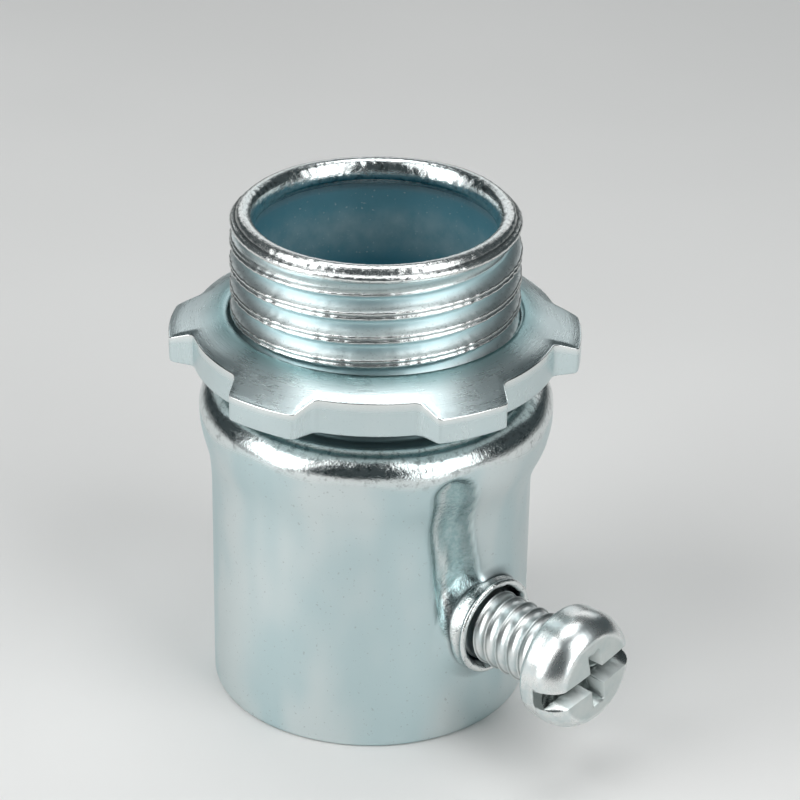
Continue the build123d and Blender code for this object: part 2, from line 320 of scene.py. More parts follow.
def helix_rows(low, high, pitch, crest, offsets, theta):
    """Heights of rows that climb one pitch per turn and are clipped at low and high.

    Row k at angle zero stands at crest + a whole number of pitches + an offset, and every row
    rises by pitch * turn fraction. Returns the heights and the number of rows in one turn.
    """
    step = np.sort(np.mod(offsets, pitch))
    first = crest + (math.floor((low - pitch - crest) / pitch) - 1) * pitch
    count = int(math.ceil((high - first) / pitch)) + 1
    start = (first + pitch * np.arange(count)[:, None] + step[None, :]).ravel()
    bottom = np.searchsorted(start, low - pitch) - 1
    start = start[bottom: np.searchsorted(start, high) + 1]
    rise = pitch * (theta - theta[0]) / (2 * math.pi)
    return np.clip(start[:, None] + rise[None, :], low, high), len(step)


def cover_helix(skin, numbers, turn_rows):
    """Quads of helical rows: the last column joins the first one a whole turn of rows further on."""
    skin.cover(numbers, wrap=False)
    last = len(numbers) - 1
    shifted = np.minimum(np.arange(len(numbers)) + turn_rows, last)
    skin.cover(np.stack([numbers[:, -1], numbers[shifted, 0]], axis=1), wrap=False)


# --- body ----------------------------------------------------------------------
def barrel_radius(s, height):
    """Outside radius: straight, then two equal arcs that swell to the shoulder."""
    barrel_r = s.socket_r + s.wall
    shoulder_z = s.seat_z - s.roll_r
    swell = (s.shoulder_r - barrel_r) / 2
    rise = (shoulder_z - s.flare_z) / 2
    arc_r = (rise * rise + swell * swell) / (2 * swell)
    low = np.clip(height - s.flare_z, 0, rise)
    high = np.clip(shoulder_z - height, 0, rise)
    lower = barrel_r + arc_r - np.sqrt(arc_r ** 2 - low ** 2)
    upper = s.shoulder_r - arc_r + np.sqrt(arc_r ** 2 - high ** 2)
    return np.where(height <= s.flare_z + rise, lower, upper)


def off_centre(points):
    """Moves points sideways by their height: the shoulder and the nipple aren't quite true to the barrel."""
    height = points[..., 2]
    to_shoulder, back_to_nipple = 0.30, 0.14
    shift = to_shoulder * smooth(17.0, 20.5, height) - back_to_nipple * smooth(23.6, 26.0, height)
    side = bearing(CAMERA_AZIMUTH + 90, 0)
    moved = points.copy()
    moved[..., 0] += shift * side.x
    moved[..., 1] += shift * side.y
    return moved


def channel_place(s, c, theta, height):
    """Distance from the slanted channel's straight centre line over its half width, and the side's sign."""
    arc_from_screw = theta * (s.socket_r + s.wall)
    top = np.array([c.channel_top_arc, c.channel_top_z])
    line = np.array([c.channel_foot_arc, c.channel_foot_z]) - top
    along = ((arc_from_screw - top[0]) * line[0] + (height - top[1]) * line[1]) / (line @ line)
    along = np.clip(along, 0, 1)
    off_arc, off_height = arc_from_screw - top[0] - along * line[0], height - top[1] - along * line[1]
    half = c.channel_top_half + along * (c.channel_foot_half - c.channel_top_half)
    return np.hypot(off_arc, off_height) / half, np.sign(off_arc)


def channel_cut(s, c, theta, height):
    """Depth of the slanted channel: a groove about a straight centre line, with round ends."""
    across = channel_place(s, c, theta, height)[0]
    bed = 1 - 0.5 * np.clip(across, 0, 1) ** 2 + 0.07 * waves(53, (20, 60), (0.2, 1.2), theta, height)
    return c.channel_depth * bed * (1 - smooth(0.55, 1.0, across))


def channel_marks(s, c, theta, height):
    """How much of the channel is here, a painted highlight streak along one side of its bed and painted shade
    on its wall on the other.
    """
    across, side = channel_place(s, c, theta, height)
    inside = smooth(0.02, 0.3, channel_cut(s, c, theta, height) / c.channel_depth)
    ragged = across + 0.10 * waves(59, (15, 60), (0.2, 1.4), theta, height, 20)
    # painted highlight: a bright streak along one side of the channel's bed
    glint_place, glint_width = 0.36, 0.15
    glint = np.exp(-((side * ragged + glint_place) / glint_width) ** 2) * inside
    # painted shade on the channel's far wall
    wall = smooth(0.25, 0.75, side * ragged) * inside
    return inside, 0.75 * glint, 0.40 * wall


def outside(s, c, theta, height):
    """Radius of the barrel's outside: profile, channel, faint hollows and the draw marks under the roll."""
    shoulder_z = s.seat_z - s.roll_r
    hollow = 0.02 * waves(3, (1, 5), (0.0, 0.25), theta, height)
    marks = 0.012 * waves(7, (24, 70), (0.0, 0.1), theta, height)
    marks = marks * smooth(shoulder_z - 3, shoulder_z - 1.2, height)
    marks = marks * (1 - smooth(shoulder_z - 0.6, shoulder_z, height))
    fade = smooth(0.0, 2.0, height) * (1 - smooth(shoulder_z - 1, shoulder_z + 0.4, height))
    return barrel_radius(s, height) + (hollow + marks) * fade - channel_cut(s, c, theta, height)


def square_loop(numbers, low, high, left, right):
    """Numbers round a window of a grid, bottom, right, top and left, each corner once."""
    def steps(start, end):
        return np.arange(start, end, 1 if end > start else -1)

    return np.concatenate([numbers[low, steps(left, right)], numbers[steps(low, high), right],
                           numbers[high, steps(right, left)], numbers[steps(high, low), left]])


def body_skin(s, c):
    """The whole shell as rings of one closed surface.

    Outside rows run from the rim up over the shoulder, helical rows carry the thread, and the rows
    go on over the lip and down inside to the rim. A window in the barrel's outer and inner wall is
    filled by loops that change from the window's square to the screw hole's circle and rise
    between them as skirt, collar and end face.
    """
    skin = Skin()
    theta = np.linspace(-math.pi, math.pi, s.columns, endpoint=False)
    barrel_r = s.socket_r + s.wall
    shoulder_z = s.seat_z - s.roll_r
    roll_centre_r = s.shoulder_r - s.roll_r
    # the window round the screw hole: half its width in columns, half its height, and its rows
    half_columns = 21
    window = 4.86
    window_rows = 34
    rows_below = 10
    middle = s.columns // 2
    left, right = middle - half_columns, middle + half_columns
    low_z, high_z = c.axis_z - window, c.axis_z + window

    # outside, from the rim to the neck
    rim = arc(barrel_r - s.rim_round, s.rim_round, s.rim_round, -90, 0, 5)[:-1]
    heights = np.concatenate([
        np.linspace(s.rim_round, low_z, rows_below, endpoint=False),
        np.linspace(low_z, high_z, window_rows, endpoint=False),
        np.linspace(high_z, shoulder_z, 38)])
    window_low = len(rim) + rows_below
    window_high = window_low + window_rows
    rim_grid = turned(rim[:, :1], theta[None, :], rim[:, 1:])
    wall_grid = turned(outside(s, c, theta[None, :], heights[:, None]), theta[None, :], heights[:, None])
    roll = arc(roll_centre_r, shoulder_z, s.roll_r, 6, 90, 15)
    corner_r = 0.2
    seat = run((roll_centre_r - 0.05, s.seat_z), (s.neck_r + corner_r, s.seat_z), 4)
    corner = arc(s.neck_r + corner_r, s.seat_z + corner_r, corner_r, 270, 180, 4)
    neck = run((s.neck_r, s.seat_z + 0.4), (s.neck_r, s.thread_low - 0.35), 3)
    upper = np.concatenate([roll, seat, corner, neck])
    dents = 0.03 * waves(11, (3, 16), (0.0, 0.4), theta[None, :], upper[:, 1:])
    dents = dents * smooth(shoulder_z - 0.4, shoulder_z + 0.8, upper[:, 1:]) * (upper[:, :1] > s.neck_r + 0.9)
    upper_grid = turned(upper[:, :1] + dents, theta[None, :], upper[:, 1:] + 0.4 * dents)
    outer_grid = np.concatenate([rim_grid, wall_grid, upper_grid])
    # the channel's painted highlight streak and the painted shade on its far wall
    pressed, glint, shade = channel_marks(s, c, theta[None, :], outer_grid[:, :1, 2])
    edge_wave = 0.25 * waves(13, (2, 9), (0, 0), theta, 0 * theta)
    polished = smooth(shoulder_z - 0.5, shoulder_z + 0.4, outer_grid[..., 2] + edge_wave)
    reach = np.hypot(outer_grid[..., 0], outer_grid[..., 1])
    on_roll = smooth(roll_centre_r - 0.1, roll_centre_r + 0.25, reach)
    # the gap under the locknut: painted teal of bounced light and painted shade
    under_nut = polished * (1 - on_roll)
    outer = skin.add(outer_grid, pressed=pressed, polished=polished * on_roll, deep=under_nut,
                     rubbed=glint, dark=shade + 0.75 * under_nut)
    keep = np.ones((len(outer) - 1, s.columns), bool)
    keep[window_low:window_high, left:right] = False
    skin.cover(outer, keep=keep)

    # thread: two rough lips with a seam on each crest, straight flanks, narrow root
    thread_low, thread_high = s.thread_low - 0.2, s.thread_high - 0.15
    # half a turn's profile: distance from the seam, and height from the root (0) to the crest (1)
    shape = np.array([(0, 0.86), (0.06, 0.90), (0.14, 1.0), (0.25, 0.99), (0.31, 0.88), (0.74, 0.04),
                      (0.907, 0)])
    offsets = np.concatenate([shape[:, 0], -shape[1:-1, 0]])
    crest_start = s.crest_z + s.pitch * (theta[0] / (2 * math.pi))
    rows, turn_rows = helix_rows(thread_low, thread_high, s.pitch, crest_start, offsets, theta)
    phase = (rows - s.crest_z - s.pitch * theta[None, :] / (2 * math.pi)) / s.pitch
    phase = np.abs(phase - np.round(phase)) * s.pitch
    rise = np.interp(phase, shape[:, 0], shape[:, 1])
    fade = smooth(s.thread_low, s.thread_low + 0.7, rows)
    fade = fade * (1 - smooth(thread_high - 0.8, thread_high - 0.05, rows))
    crest = smooth(0.75, 0.95, rise)
    rough = 0.026 * waves(5, (18, 90), (0.2, 2.0), theta[None, :], rows, 26) - 0.01
    radius = s.root_r + (s.crest_r - s.root_r) * rise * fade + rough * crest * fade
    radius = np.minimum(radius, s.crest_r + 0.01)
    seam = (1 - smooth(0.0, 0.1, phase)) * fade
    # painted teal of bounced light between the crests
    thread = skin.add(turned(radius, theta[None, :], rows), rubbed=crest * fade, deep=1 - crest * fade,
                      dark=0.55 * seam)
    cover_helix(skin, thread, turn_rows)

    # lip, throat and the inside down to the rim
    lip_top = s.top_z - 0.02
    wobble = 0.05 * waves(17, (2, 7), (0, 0.1), theta[None, :], 0 * theta[None, :])
    # the fold over the last turn, the crease under the lip, its outside, its top and its bore
    lip = np.array([
        (s.root_r + 0.06, thread_high + 0.03), (s.crest_r - 0.34, thread_high + 0.12),
        (s.crest_r - 0.10, thread_high + 0.34), (s.crest_r - 0.08, thread_high + 0.52),
        (s.crest_r - 0.22, thread_high + 0.68), (s.lip_r + 0.03, thread_high + 0.75),
        (s.lip_r, lip_top - 0.42), (s.lip_r - 0.06, lip_top - 0.24), (s.lip_r - 0.2, lip_top - 0.09),
        (s.lip_r - 0.4, lip_top - 0.01), (s.lip_r - 0.62, lip_top), (s.lip_r - 0.85, lip_top - 0.1),
        (s.lip_r - 1.02, lip_top - 0.26), (s.lip_bore_r + 0.16, lip_top - 0.58),
        (s.lip_bore_r + 0.05, lip_top - 0.98), (s.lip_bore_r, lip_top - 1.35),
        (s.lip_bore_r + 0.04, lip_top - 1.6), (s.throat_r - 0.04, lip_top - s.lip_depth - 0.2),
        (s.throat_r, lip_top - s.lip_depth - 0.45)])
    crease, top_start, top_end = 5, 8, 12
    lip_swing = np.interp(np.arange(len(lip)), [0, 3, 11, 15, 18], [0, 1, 1, 0.6, 0])[:, None]
    lip_rough = 0.02 * waves(19, (25, 90), (0.5, 4.0), theta[None, :], lip[:, 1:], 20) * lip_swing
    lip_grid = turned(lip[:, :1] + wobble * lip_swing + lip_rough, theta[None, :],
                      lip[:, 1:] + 0.45 * wobble * lip_swing - 0.02 * lip_swing)
    throat_foot = s.seat_z - s.wall
    throat = np.concatenate([
        run((s.throat_r, lip_top - s.lip_depth - 1), (s.throat_r, throat_foot + 0.5), 9),
        arc(s.throat_r + 0.4, throat_foot + 0.4, 0.4, 180, 270, 4),
        run((s.throat_r + 0.9, throat_foot), (roll_centre_r, throat_foot), 3),
        arc(roll_centre_r, shoulder_z, s.roll_r - s.wall, 90, 10, 7)])
    flare_z = np.linspace(shoulder_z, high_z, 14, endpoint=False)
    inner_z = np.concatenate([
        flare_z, np.linspace(high_z, low_z, window_rows + 1), np.linspace(low_z, 0.25, 8)[1:]])
    flare = np.stack([barrel_radius(s, inner_z) - s.wall, inner_z], axis=1)
    rim_in = np.array([(s.socket_r + 0.05, 0.08), (s.socket_r + 0.2, 0.0)])
    inside_profile = np.concatenate([throat, flare, rim_in])
    press = 0.35 * channel_cut(s, c, theta[None, :], inside_profile[:, 1:])
    press = press * (inside_profile[:, :1] > s.socket_r - 0.1)
    press = press * smooth(high_z, high_z + 1.5, inside_profile[:, 1:])
    inside_grid = turned(inside_profile[:, :1] - press, theta[None, :], inside_profile[:, 1:])
    row = np.arange(len(lip) + len(inside_profile))[:, None]
    past_top = smooth(top_start, top_end, row)
    # from the throat on down inside, the shell is painted dark teal for its shade
    in_throat = smooth(len(lip) - 3, len(lip) + 1, row)
    # painted shade in the crease under the lip
    inner = skin.add(np.concatenate([lip_grid, inside_grid]), rubbed=1 - past_top,
                     dark=0.5 * (row == crease), polished=past_top * (1 - in_throat), hidden=in_throat)
    keep = np.ones((len(inner) - 1, s.columns), bool)
    inner_high = len(lip) + len(throat) + len(flare_z)
    inner_low = inner_high + window_rows
    keep[inner_high:inner_low, left:right] = False
    skin.cover(inner, keep=keep)

    # closing rings between the four bands
    thread_foot = skin.add(turned(s.root_r, theta[None, :], thread_low))
    thread_head = skin.add(turned(s.root_r, theta[None, :], thread_high))
    skin.cover(np.concatenate([outer[-1:], thread_foot]))
    skin.cover(np.concatenate([thread_head, inner[:1]]))
    skin.cover(np.concatenate([inner[-1:], outer[:1]]))

    collar_skin(skin, s, c, outer, inner, (window_low, window_high), (inner_low, inner_high), (left, right))
    return skin


def collar_skin(skin, s, c, outer, inner, rows, inner_rows, columns):
    """Loops from the outer window over the collar and through the screw hole to the inner window."""
    grid = np.concatenate(skin.points)
    outer_loop = square_loop(outer, rows[0], rows[1], *columns)
    inner_loop = square_loop(inner, inner_rows[0], inner_rows[1], *columns)
    start = grid[outer_loop]
    finish = grid[inner_loop]
    phi = np.arctan2(start[:, 2] - c.axis_z, start[:, 1])
    foot_r = c.radius + c.skirt

    def outer_x(y, z):
        """Outside of the barrel over the point (y, z), found by three rounds of the angle."""
        turn = np.arcsin(y / (s.socket_r + s.wall))
        for _ in range(3):
            turn = np.arcsin(np.clip(y / outside(s, c, turn, z), -1, 1))
        return outside(s, c, turn, z) * np.cos(turn)

    def ring(radius, x):
        y, z = radius * np.cos(phi), c.axis_z + radius * np.sin(phi)
        return np.stack([np.broadcast_to(x, y.shape), y, z], axis=-1)

    # from the window's square to the skirt's circle, on the barrel; marks stand in the order of MARKS
    loops, marks = [], []
    for t in np.linspace(0, 1, 11)[1:]:
        y = (1 - t) * start[:, 1] + t * foot_r * np.cos(phi)
        z = (1 - t) * start[:, 2] + t * (c.axis_z + foot_r * np.sin(phi))
        loops.append(np.stack([outer_x(y, z), y, z], axis=-1))
        # the channel's painted highlight streak and painted wall shade, carried onto the loops
        groove, glint, wall_shade = channel_marks(s, c, np.arcsin(y / (s.socket_r + s.wall)), z)
        marks.append((glint, 0, 0, groove, wall_shade, 0))
    # skirt: the wall swells softly out to a crisp crease at the collar's foot
    wobble = 0.05 * waves(23, (1, 5), (0, 0), phi, 0 * phi)
    shade = smooth(-0.5, 0.7, np.sin(phi) - 0.6 * np.cos(phi))
    for t in np.linspace(0, 1, 12)[1:]:
        radius = c.radius + 0.5 * wobble * t + c.skirt * (1 - t)
        y, z = radius * np.cos(phi), c.axis_z + radius * np.sin(phi)
        base = outer_x(y, z)
        swell = 0.42 * t ** 1.7
        loops.append(np.stack([base + swell * (c.end_x - 0.35 - base), y, z], axis=-1))
        # the channel's painted highlight streak and painted wall shade, carried onto the skirt
        groove, glint, wall_shade = channel_marks(s, c, np.arcsin(y / (s.socket_r + s.wall)), z)
        marks.append((glint, 0, 0.25 * smooth(0.6, 1.0, t), groove,
                      np.maximum(wall_shade, 0.9 * shade * smooth(0.86, 0.97, t)), 0))
    rim_start = loops[-1]
    # side, a raised bead at the mouth, the torn face and the hole
    mouth = c.end_x - 0.02
    torn = waves(29, (5, 22), (0, 0), phi, 0 * phi, 20)
    bead = [(c.radius + 0.00, mouth - 0.66), (c.radius - 0.03, mouth - 0.54), (c.radius - 0.14, mouth - 0.44),
            (c.radius - 0.13, mouth - 0.36), (c.radius - 0.02, mouth - 0.28), (c.radius - 0.01, mouth - 0.16),
            (c.radius - 0.08, mouth - 0.06), (c.radius - 0.18, mouth - 0.01), (c.radius - 0.34, mouth)]
    # painted shade in the crease of the bead
    bead_shade = (0, 0, 0.45, 0.35, 0, 0, 0, 0, 0)
    for k, (radius, x) in enumerate(bead):
        share = min(1.0, (k + 1) / 3)
        x = (1 - share) * np.minimum(rim_start[:, 0], x) + share * x
        loops.append(ring(radius + 0.5 * wobble + 0.012 * torn, x + 0.01 * torn - 0.01))
        marks.append((0.8, 0, 1, 0, bead_shade[k], 0))
    face = [(c.radius - 0.48, mouth - 0.07), (c.radius - 0.56, mouth - 0.20), (c.hole_r + 0.22, mouth - 0.42),
            (c.hole_r + 0.10, mouth - 0.60), (c.hole_r, mouth - 0.8), (c.hole_r, mouth - 1.2)]
    # painted shade on the face, deepening towards the hole
    for k, (radius, x) in enumerate(face):
        tear = 0.045 * torn * (1 - k / 5) if k < 5 else 0
        loops.append(ring(radius + np.clip(tear, -0.04, 0.1), x - 0.5 * np.abs(tear)))
        marks.append((0.3, 0, 0.5, 0, min(1.0, 0.2 + 0.3 * k), 0))
    # along the hole into the bore, and out over the bore to the inner window
    wall_x = np.sqrt(s.socket_r ** 2 - (c.hole_r * np.cos(phi)) ** 2)
    # painted shade down the hole, and the bore inside marked for its painted dark teal
    loops.append(ring(c.hole_r, wall_x + 0.1))
    marks.append((0, 0, 0, 0, 1, 1))
    mouth_r = c.hole_r + 0.08
    for t in np.linspace(0, 1, 7)[:-1]:
        y = (1 - t) * mouth_r * np.cos(phi) + t * finish[:, 1]
        z = (1 - t) * (c.axis_z + mouth_r * np.sin(phi)) + t * finish[:, 2]
        loops.append(np.stack([np.sqrt(s.socket_r ** 2 - y ** 2), y, z], axis=-1))
        marks.append((0, 0, 0, 0, 0, 1))
    shades = [np.stack([np.broadcast_to(row[k], phi.shape) for row in marks]) for k in range(len(Skin.MARKS))]
    numbers = skin.add(np.stack(loops), **dict(zip(Skin.MARKS, shades)))
    skin.cover(np.concatenate([outer_loop[None], numbers, inner_loop[None]]))


# --- locknut -------------------------------------------------------------------
def bend(start, corner, end, count):
    """Quadratic curve from start to end that rounds a corner."""
    t = np.linspace(0, 1, count)[:, None]
    return (1 - t) ** 2 * start + 2 * t * (1 - t) * corner + t * t * end


def nut_outline(n):
    """One turn of the lugged outline: arcs at the tips and notches, straight sides, rounded corners."""
    def point(radius, turn):
        return np.array([radius * math.cos(turn), radius * math.sin(turn)])

    def circle(radius, start, end, count):
        turn = np.linspace(start, end, count)
        return np.stack([radius * np.cos(turn), radius * np.sin(turn)], axis=1)

    tip, foot = point(n.lug_r, n.half_tip), point(n.notch_r, n.half_foot)
    side = (foot - tip) / np.linalg.norm(foot - tip)
    tip_round, foot_round = 0.26, 0.46
    tip_turn = n.half_tip - tip_round / n.lug_r
    foot_turn = n.half_foot + foot_round / n.notch_r
    gap = math.pi / n.lugs
    line = np.linspace(0, 1, 7)[1:-1, None]
    from_tip, to_foot = tip + tip_round * side, foot - foot_round * side
    half = np.concatenate([
        circle(n.lug_r, 0, tip_turn, 9)[:-1],
        bend(point(n.lug_r, tip_turn), tip, from_tip, 7),
        from_tip + line * (to_foot - from_tip),
        bend(to_foot, foot, point(n.notch_r, foot_turn), 8),
        circle(n.notch_r, foot_turn, gap, 9)[1:]])
    lug = np.concatenate([half[:0:-1] * (1, -1), half[:-1]])
    turns = n.turn + 2 * gap * np.arange(n.lugs)
    spin = np.stack([np.cos(turns), -np.sin(turns), np.sin(turns), np.cos(turns)], axis=1).reshape(-1, 2, 2)
    return np.einsum("kij,pj->kpi", spin, lug).reshape(-1, 2)


def nut_skin(n):
    """The dished ring: rows run from the bore over the top to the outline, down the side and back under."""
    skin = Skin()
    edge = nut_outline(n)
    reach = np.hypot(edge[:, 0], edge[:, 1])
    way = edge / reach[:, None]
    theta = np.arctan2(edge[:, 1], edge[:, 0])
    top = n.top_z - n.under_z
    tear = waves(31, (9, 40), (0, 0), theta, 0 * theta, 18)

    def level(radius):
        """Height of the dished top over the underside: straight slopes that steepen over the lugs."""
        inner_r = n.bore_r + n.lead_in
        height = np.interp(radius, [n.bore_r, inner_r, n.notch_r, n.lug_r], [top, top, n.foot_top, n.tip_top])
        crown = 0.07 * np.sin(np.pi * np.clip((radius - inner_r) / (n.lug_r - inner_r), 0, 1))
        return height + crown

    def hollow(radius):
        """Height of the underside: a cone that rises from the dish radius to the bore."""
        return n.dish * np.clip((n.dish_r - radius) / (n.dish_r - n.bore_r), 0, 1)

    rows, worn, upward = [], [], []

    def add(radius, height, wear=0.0, up=0.0):
        """One row round the nut. wear marks the worn rim, and up marks the rows of the top."""
        worn.append(np.full(reach.shape, wear))
        upward.append(np.full(reach.shape, up))
        radius = np.broadcast_to(radius, reach.shape)
        rows.append(np.stack([way[:, 0] * radius, way[:, 1] * radius, n.under_z + height], axis=-1))

    corner = 0.07
    die_depth, die_reach = 0.13, 0.9
    add(n.bore_r, hollow(n.bore_r) + 0.12 + 0 * reach)
    for height in (1.2, 1.8, 2.4, top - n.lead_in - 0.25):
        add(n.bore_r, height + 0 * reach)
    add(n.bore_r + 0.02, top - n.lead_in + 0.03 * tear, up=0.2)
    add(n.bore_r + 0.15 + 0.02 * tear, top - 0.17 + 0.02 * tear, up=0.9)
    add(n.bore_r + 0.28 + 0.03 * tear, top - 0.06 + 0.01 * tear, up=1.0)
    inner_r = n.bore_r + n.lead_in + 0.1
    for t in np.concatenate([np.linspace(0, 0.7, 14), np.linspace(0.7, 1, 12)[1:]]):
        radius = inner_r + t * (reach - corner - inner_r)
        from_edge = reach - radius
        die_roll = die_depth * np.clip(1 - from_edge / die_reach, 0, 1) ** 2
        dimple = 0.018 * waves(37, (3, 14), (0.3, 1.5), theta, radius)
        add(radius, level(radius) - die_roll - 0.05 * (t < 0.01) + dimple, up=1.0)
    rim = level(reach - corner) - die_depth * (1 - corner / die_reach) ** 2
    for degrees, up in ((22, 1.0), (45, 0.9), (68, 0.3), (90, 0.0)):
        turn = math.radians(degrees)
        add(reach - corner * (1 - math.sin(turn)), rim - corner * (1 - math.cos(turn)), wear=1.0, up=up)
    wall = 0.02 * waves(41, (4, 30), (0, 0), theta, 0 * theta)
    for t in (0.25, 0.5, 0.75, 0.92):
        bulge = 0.05 * math.sin(math.pi * t)
        add(reach - 0.02 + bulge * 0.4 + wall * t * (1 - t) * 4, (rim - corner) * (1 - t))
    add(reach - 0.03, 0.06 + 0 * reach)
    add(reach - 0.10, 0.0 + 0 * reach)
    for t in np.linspace(0, 1, 5):
        radius = (1 - t) * (reach - 0.3) + t * n.dish_r
        add(radius, 0 * reach)
    for radius in np.linspace(n.dish_r, n.bore_r + 0.12, 8)[1:]:
        add(radius, hollow(radius) + 0 * reach)
    numbers = skin.add(np.stack(rows), rubbed=np.stack(worn), pressed=np.stack(upward))
    skin.cover(np.concatenate([numbers, numbers[:1]])[::-1])
    return skin


# --- set screw -----------------------------------------------------------------
def head_level(w, radius):
    """Height of the crowned head over its underside, without its recesses."""
    side_top = w.head_h * SIDE_SHARE
    face_top = w.head_h - FACE_DROP
    bow = np.clip((radius - w.face_r) / (w.head_r - w.face_r), 0, 1)
    rounded = side_top + (face_top - side_top) * np.sqrt(np.clip(1 - bow ** 1.5, 0, 1))
    dome = face_top + FACE_DOME * (1 - (np.minimum(radius, w.face_r) / w.face_r) ** 2)
    return np.where(radius > w.face_r, rounded, dome)


def paired(values, gap):
    """Each value twice, gap apart, on both sides of zero."""
    return np.array([side * v + d for v in values for side in (-1, 1) for d in (-gap / 2, gap / 2)])


def head_grid(w):
    """The head's face as a height field on a disc.

    Grid lines stand on the walls of the slot and of the cross. Lines across the slot end on the
    head's circle, where the height field has come down to the side's top.
    """
    inner_v = w.slot_w / 2 + 0.06
    turn = np.linspace(0, math.pi, 61)
    u = w.head_r * np.cos(turn)
    walls = paired([w.cross_w / 2, w.cross_reach], 0.09)
    fine = np.linspace(-2.6, 2.6, 27)
    u = np.unique(np.round(np.concatenate([u, walls, fine]), 4))
    near = np.abs(u[:, None] - walls[None, :]).min(axis=1)
    u = u[(near < 1e-6) | (near > 0.03)]
    u[[0, -1]] = -w.head_r, w.head_r
    v = np.unique(np.round(np.concatenate([
        w.head_r * np.sin(np.linspace(-math.pi / 2, math.pi / 2, 51)),
        paired([w.cross_w / 2, w.slot_w / 2, w.cross_reach], 0.07), [-inner_v, inner_v, -0.2, 0.2]]), 4))
    end = np.sqrt(np.clip(w.head_r ** 2 - u ** 2, 0, None))[:, None]
    share = (np.abs(v) - inner_v) / (w.head_r - inner_v)
    outer = np.sign(v) * (inner_v + share * np.maximum(end - inner_v, 0))
    across = np.where(np.abs(v)[None, :] <= inner_v, v[None, :] * np.minimum(end / inner_v, 1), outer)
    across = np.where((np.abs(v)[None, :] > inner_v) & (end < inner_v), np.sign(v) * end, across)
    along = np.broadcast_to(u[:, None], across.shape)
    radius = np.minimum(np.hypot(along, across), w.head_r)
    level = head_level(w, radius)
    floor_z = w.head_h - w.slot_depth
    deep_z = w.head_h - w.cross_depth

    def side(distance, half, gap):
        return np.clip((half + gap - np.abs(distance)) / (2 * gap), 0, 1)

    in_slot = side(across, w.slot_w / 2, 0.035)
    slot = np.minimum(level, floor_z + 0.05 * np.abs(across) + 0.03 * np.sin(2.1 * along))
    shape = level + (slot - level) * in_slot
    wing = side(along, w.cross_w / 2, 0.045) * side(across, w.cross_reach, 0.035)
    slope = deep_z + 0.34 * np.abs(across)
    shape = shape + (np.minimum(shape, slope) - shape) * wing
    deep = side(across, w.cross_w / 2, 0.035) * side(along, w.cross_reach, 0.045)
    slope = deep_z + 0.30 * np.abs(along)
    shape = shape + (np.minimum(shape, slope) - shape) * deep
    recess = np.clip(in_slot + wing + deep, 0, 1)
    burr = 0.05 * np.sin(7.0 * along + 1.3) * np.sin(5.1 * across + 0.4) * recess
    scar = 0.012 * np.sin(5.0 * along + 1.3) * np.sin(4.1 * across) * (radius < w.face_r)
    return along, across, shape + scar + burr, recess


